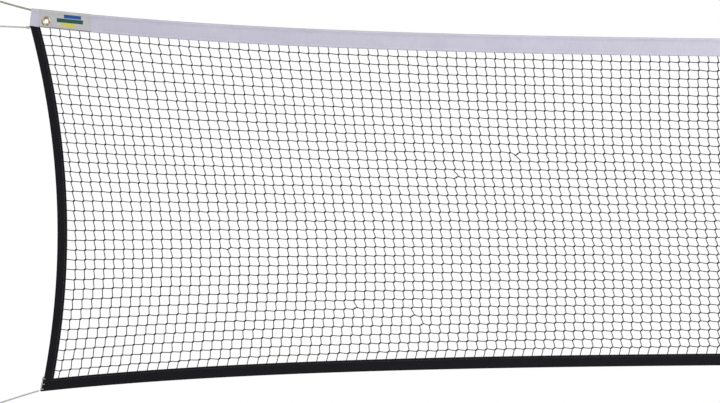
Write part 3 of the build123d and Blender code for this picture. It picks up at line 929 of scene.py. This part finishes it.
def on_headband(u, d):
    lean = HEADBAND_END_SLANT * d / HEADBAND_HEIGHT
    x = -lean + (NET_LENGTH + 2 * lean) * u
    return x, top_edge(x, d)


def headband_ripple(u, x, d):
    """Puckers over each mesh, deepest at the seam, and slow waves along the strip."""
    lower = eased((d - PUCKER_FROM) / PUCKER_OVER)
    free = eased((x - FREE_X) / FREE_OVER) * eased((NET_LENGTH - FREE_X - x) / FREE_OVER)
    pucker = 0.5 + 0.5 * np.cos(2 * np.pi * (x - FIRST_COLUMN_X) / MESH_PITCH)
    uneven = 0.6 + 0.4 * np.sin(x * 23.0 + 1.3) * np.sin(x * 7.1)
    slow = 0.5 + 0.5 * np.sin(x * 31.0 + d * 60)
    wave = SLOW_WAVE * slow * eased((d - WAVE_FROM) / WAVE_OVER)
    return (PUCKER * pucker * uneven * lower + wave) * free


profile = folded_profile(HEADBAND_HEIGHT, TOP_CORD_D / 2 + CORD_PLAY, LEAF_GAP / 2, HEADBAND_WALL,
                         HEADBAND_HEIGHT - SEAM_INSET)
headband_part = folded_strip(on_headband, HEADBAND_STEPS, profile, HEADBAND_WALL, headband_ripple)
headband = make_piece("headband_cloth", *headband_part, headband_mat, "net", "headband",
                      "headband_fabric")
punch(headband, (eyelet_centre, other_centre), HOLE_R)

leaf_face = LEAF_GAP / 2 + HEADBAND_WALL


def between_patches(u, d):
    start = PATCH_END_X + SEAM_INSET
    x = start + (NET_LENGTH - 2 * start) * u
    return x, top_edge(x, d)


seam = stitches(between_patches, HEADBAND_HEIGHT - SEAM_INSET, leaf_face, HEADBAND_STITCH, HEADBAND_SEAM,
                HEADBAND_THREAD_R)
make_piece("headband_stitches", *seam, white_thread, "net", "headband_seam", "white_thread")

# End patches
PATCH_STEPS = 110
PATCH_STITCH, PATCH_THREAD_R = 0.0026, 0.0003
PATCH_END_SEAM = 0.024  # the seam across each end of a patch, down to its lower edge
PATCH_END_SEAM_FROM = 0.011
OVER_SEAM = 0.0001  # by which the end seams stand over the lower one
EYELET_PULL, EYELET_PULL_AT, EYELET_PULL_WIDTH = 0.00018, 0.0125, 0.003
SEWN_EDGE, SEWN_FROM, SEWN_OVER = 0.00016, 0.97, 0.02  # its height, and where, as shares of the length

patch_length = PATCH_END_X - PATCH_START_X
patch_face = leaf_face + PATCH_WALL


def on_patch(u, d):
    x = PATCH_START_X + patch_length * u
    return x, top_edge(x, d - PATCH_WALL)


def patch_ripple(u, x, d):
    """Slight pulls beside the eyelet, and a raised sewn edge at the patch's inner end."""
    away = np.hypot(x - EYELET_X, d - EYELET_BELOW_FOLD)
    pull = EYELET_PULL * np.exp(-((away - EYELET_PULL_AT) / EYELET_PULL_WIDTH) ** 2)
    return pull + SEWN_EDGE * eased((u - SEWN_FROM) / SEWN_OVER)


profile = folded_profile(HEADBAND_HEIGHT + PATCH_WALL, TOP_CORD_D / 2 + CORD_PLAY + HEADBAND_WALL,
                         leaf_face, PATCH_WALL, HEADBAND_HEIGHT - PATCH_SEAM_INSET)
patch_part = folded_strip(on_patch, PATCH_STEPS, profile, PATCH_WALL, patch_ripple)
patches = make_both_ends("patch_cloth", *patch_part, patch_mat, "net", "end_patch", "patch_fabric")
for patch, centre in zip(patches, (eyelet_centre, other_centre)):
    punch(patch, (centre,), HOLE_R)


def up_patch(at_x):
    """Along a line across the patch, from near the fold down to its lower edge."""
    return lambda u, d: (at_x + 0 * u, top_edge(at_x, PATCH_END_SEAM_FROM + PATCH_END_SEAM * u))


rows = [stitches(on_patch, HEADBAND_HEIGHT - PATCH_SEAM_INSET, patch_face, PATCH_STITCH, patch_length,
                 PATCH_THREAD_R)]
for at_x in (PATCH_START_X + PATCH_SEAM_INSET, PATCH_END_X - PATCH_SEAM_INSET):
    rows.append(stitches(up_patch(at_x), 0.0, patch_face + OVER_SEAM, PATCH_STITCH, PATCH_END_SEAM,
                         PATCH_THREAD_R))
make_both_ends("patch_stitches", *joined(rows), white_thread, "net", "patch_stitching", "white_thread")

# Side tapes
SIDE_TAPE_STEPS = 280
BUTT_GAP = 0.0002  # between tapes, and by which the bottom tape stands out past the side tapes
KNOT_PULL, PULL_FROM, PULL_OVER = 0.0002, 0.008, 0.009  # its height, and where it grows, from the edge
TAPE_THREAD_R = 0.00028
SIDE_STITCH, SIDE_SEAM = 0.0032, 0.70

tape_face = LEAF_GAP / 2 + TAPE_WALL


def on_side_tape(u, d):
    near = side_edge(FOLD_Z - HEADBAND_HEIGHT, d)
    high = top_edge(near, HEADBAND_HEIGHT) + BUTT_GAP
    near = side_edge(LOWER_Z + BOTTOM_TAPE_HEIGHT, d)
    low = bottom_edge(near, BOTTOM_TAPE_HEIGHT) - BUTT_GAP
    z = high + (low - high) * u
    return side_edge(z, d), z


def tape_ripple(u, x, d):
    """The netting pulls the tape's inner edge out of flat at each row of knots."""
    inner = eased((d - PULL_FROM) / PULL_OVER)
    return KNOT_PULL * inner * (0.5 + 0.5 * np.sin(u * 2 * np.pi * ROWS))


profile = folded_profile(SIDE_TAPE_WIDTH, LOW_CORD_D / 2 + CORD_PLAY, LEAF_GAP / 2, TAPE_WALL,
                         SIDE_TAPE_WIDTH - SEAM_INSET)
side_part = folded_strip(on_side_tape, SIDE_TAPE_STEPS, profile, TAPE_WALL, tape_ripple)
side_tapes = make_both_ends("side_tape_cloth", *side_part, tape_mat, "net", "side_tape", "black_tape")
seam = stitches(on_side_tape, SIDE_TAPE_WIDTH - SEAM_INSET, tape_face, SIDE_STITCH, SIDE_SEAM,
                TAPE_THREAD_R)
make_both_ends("side_tape_stitches", *seam, black_thread, "net", "side_tape_seam", "black_thread")

# Bottom tape
BOTTOM_TAPE_STEPS = 1400
BOTTOM_STITCH, BOTTOM_SEAM = 0.0034, 6.05
BOTTOM_PUCKER, BOTTOM_WAVE = 0.00025, 0.00012
BOTTOM_FROM, BOTTOM_OVER = 0.010, 0.010  # above the fold, where the puckers grow


def on_bottom_tape(u, d):
    start = side_edge(LOWER_Z + d) - BUTT_GAP
    x = start + (NET_LENGTH - 2 * start) * u
    return x, bottom_edge(x, d)


def bottom_ripple(u, x, d):
    """Puckers over each mesh at the inner edge, and slow waves along the tape."""
    inner = eased((d - BOTTOM_FROM) / BOTTOM_OVER)
    pucker = 0.5 + 0.5 * np.cos(2 * np.pi * (x - FIRST_COLUMN_X - LEAN) / MESH_PITCH)
    slow = BOTTOM_WAVE * (0.5 + 0.5 * np.sin(x * 27)) * eased((d - WAVE_FROM) / WAVE_OVER)
    return BOTTOM_PUCKER * inner * pucker + slow


profile = folded_profile(BOTTOM_TAPE_HEIGHT, LOW_CORD_D / 2 + CORD_PLAY, LEAF_GAP / 2, TAPE_WALL,
                         BOTTOM_TAPE_HEIGHT - SEAM_INSET)
bottom_part = folded_strip(on_bottom_tape, BOTTOM_TAPE_STEPS, profile, TAPE_WALL, bottom_ripple)
bottom_tape = make_piece("bottom_tape_cloth", *bottom_part, tape_mat, "net", "bottom_tape",
                         "black_tape")
seam = stitches(on_bottom_tape, BOTTOM_TAPE_HEIGHT - SEAM_INSET, tape_face, BOTTOM_STITCH, BOTTOM_SEAM,
                TAPE_THREAD_R)
make_piece("bottom_tape_stitches", *seam, black_thread, "net", "bottom_tape_seam", "black_thread")

# ---- Eyelets ----


def turned(profile, centre, segments=56):
    """A closed profile of (radius, depth) turned about the depth axis."""
    profile = np.array(profile)
    angle = np.linspace(0, 2 * np.pi, segments, endpoint=False)
    r, y = profile[:, 0], profile[:, 1]
    x = centre[0] + np.cos(angle)[:, None] * r
    z = centre[1] + np.sin(angle)[:, None] * r
    verts = np.stack([x, np.broadcast_to(y, x.shape), z], axis=-1).reshape(-1, 3)
    around = len(profile)
    i, j = np.meshgrid(np.arange(segments), np.arange(around), indexing="ij")
    next_i, next_j = (i + 1) % segments, (j + 1) % around
    quads = np.stack([i * around + j, i * around + next_j, next_i * around + next_j, next_i * around + j], -1)
    return faced_out(verts, [quads.reshape(-1, 4)])


def rounded(centre_r, centre_y, half_r, half_y, start, end, steps):
    """Points of an oval arc, in turns from its outer side."""
    t = np.linspace(start, end, steps) * 2 * np.pi
    return [(centre_r + half_r * math.cos(a), centre_y - half_y * math.sin(a)) for a in t]


FLANGE_R, FLANGE_HEIGHT = 0.0094, 0.0012
WASHER_R, WASHER_THICKNESS = 0.0086, 0.0008
WASHER_EDGE, WASHER_ROUND = 0.0003, 0.0012  # the height of its outer edge, and the radius above it
BARREL_WALL = 0.0006
RIM_HALF, RIM_HEIGHT = 0.00085, 0.0006  # the barrel's end, rolled over the washer
PLAY = 0.0001

face = patch_face + PLAY
dome = rounded((FLANGE_R + BORE_R) / 2, -face, (FLANGE_R - BORE_R) / 2, FLANGE_HEIGHT, 0.0, 0.5, 14)
rim_y = face + WASHER_THICKNESS
rim = rounded(BORE_R + RIM_HALF, rim_y, RIM_HALF, RIM_HEIGHT, 0.5, 1.0, 8)
eyelet_profile = dome + rim + [(BORE_R + BARREL_WALL, rim_y), (BORE_R + BARREL_WALL, -face)]
make_both_ends("eyelet_barrel", *turned(eyelet_profile, eyelet_centre), brass_mat, "net", "eyelet",
               "eyelet_brass")
washer_bore = BORE_R + BARREL_WALL + PLAY
washer_profile = [(washer_bore, face), (WASHER_R, face), (WASHER_R, face + WASHER_EDGE)]
washer_profile += rounded(WASHER_R - WASHER_ROUND, face + WASHER_EDGE, WASHER_ROUND, -0.0005, 0.04, 0.25, 5)
washer_profile += [(washer_bore, rim_y)]
make_both_ends("washer_ring", *turned(washer_profile, eyelet_centre), brass_mat, "net", "eyelet_washer",
               "eyelet_brass")

# ---- Cords inside the tapes keep their CAD shape ----

for node, mat in (("top_cord", top_fibre), ("bottom_cord", low_fibre), ("left_side_cord", low_fibre),
                  ("right_side_cord", low_fibre)):
    for material_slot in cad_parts[node].material_slots:
        material_slot.material = mat

# ---- Floor, light and sky ----

FLOOR_Z = -1.55
FLOOR_X, FLOOR_Y = (-4.0, 10.0), (-3.2, 3.2)
SKY_LIGHT = 0.62  # the white sky is dimmer as light than as the camera sees it

floor_mesh = bpy.data.meshes.new("floor")
corners = [(x, y, FLOOR_Z) for y in FLOOR_Y for x in FLOOR_X]
floor_mesh.from_pydata(corners, [], [(0, 1, 3, 2)])
floor = bpy.data.objects.new("floor", floor_mesh)
floor_shader = Shader("floor_plain", 0.7)
floor_shader.colour(floor_shader.blend(floor_shader.noise(0.8), (0.55, 0.55, 0.56), (0.61, 0.61, 0.62)))
floor_mesh.materials.append(floor_shader.material)
bpy.context.scene.collection.objects.link(floor)

world = bpy.data.worlds.new("studio")
bpy.context.scene.world = world
world.use_nodes = True
tree = world.node_tree
output = tree.nodes["World Output"]
lit = tree.nodes["Background"]
lit.inputs["Color"].default_value = (1, 1, 1, 1)
lit.inputs["Strength"].default_value = SKY_LIGHT
seen = tree.nodes.new("ShaderNodeBackground")
seen.inputs["Color"].default_value = (1, 1, 1, 1)
seen.inputs["Strength"].default_value = 1.0
path_node = tree.nodes.new("ShaderNodeLightPath")
mixer = tree.nodes.new("ShaderNodeMixShader")
tree.links.new(path_node.outputs["Is Camera Ray"], mixer.inputs[0])
tree.links.new(lit.outputs[0], mixer.inputs[1])
tree.links.new(seen.outputs[0], mixer.inputs[2])
tree.links.new(mixer.outputs[0], output.inputs["Surface"])
bpy.context.scene.view_settings.view_transform = "Standard"


def softbox(name, place, aim, size, power):
    """A rectangular lamp, in watts, turned to where it is aimed."""
    data = bpy.data.lights.new(name, "AREA")
    data.shape = "RECTANGLE"
    data.size, data.size_y = size
    data.energy = power
    lamp = bpy.data.objects.new(name, data)
    lamp.location = place
    lamp.rotation_euler = (Vector(aim) - Vector(place)).to_track_quat("-Z", "Y").to_euler()
    bpy.context.scene.collection.objects.link(lamp)


softbox("key", (3.05, -3.0, 1.5), (3.05, 0, -0.3), (3.4, 1.6), 130)
softbox("left_fill", (-1.2, -3.4, 2.0), (0.4, 0, -0.4), (2.0, 2.0), 45)
softbox("right_fill", (7.3, -3.4, 2.0), (5.7, 0, -0.4), (2.0, 2.0), 45)
softbox("back", (3.05, 3.6, 1.8), (3.05, 0, -0.4), (5.0, 2.0), 110)
